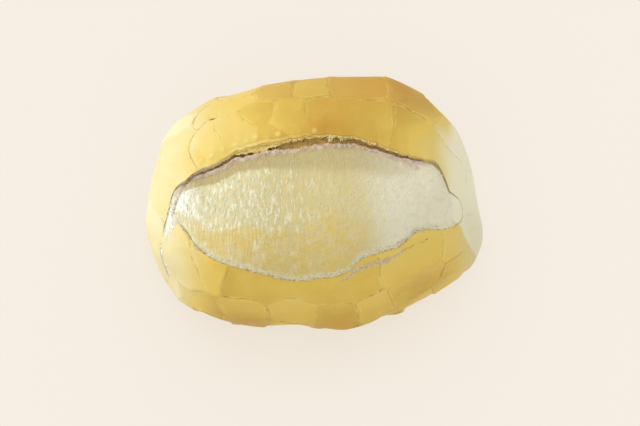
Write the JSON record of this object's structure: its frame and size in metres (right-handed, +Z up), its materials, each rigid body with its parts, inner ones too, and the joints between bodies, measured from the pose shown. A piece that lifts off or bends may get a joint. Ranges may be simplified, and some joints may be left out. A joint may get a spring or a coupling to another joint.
{
  "type": "bolillo roll",
  "caption": "Short oval crusty bread roll with blunt ends and a flat underside, burst along a slash: a torn lip overhangs the pale belly, above a lower crust of cracked plates.",
  "frame": {"origin": "middle of the flat underside that the roll rests on, at Z = 0", "axes": "+X along the roll, +Z up, -Y towards the side with the lower crust, so the slash opens up and towards -Y"},
  "size_m": [0.1316, 0.1033, 0.0637],
  "materials": {
    "crust": "dry golden bread crust, satin where it is browned and matt where it is pale"
  },
  "bodies": {
    "root": {"bolillo_roll": "crust"}
  },
  "joints": []
}
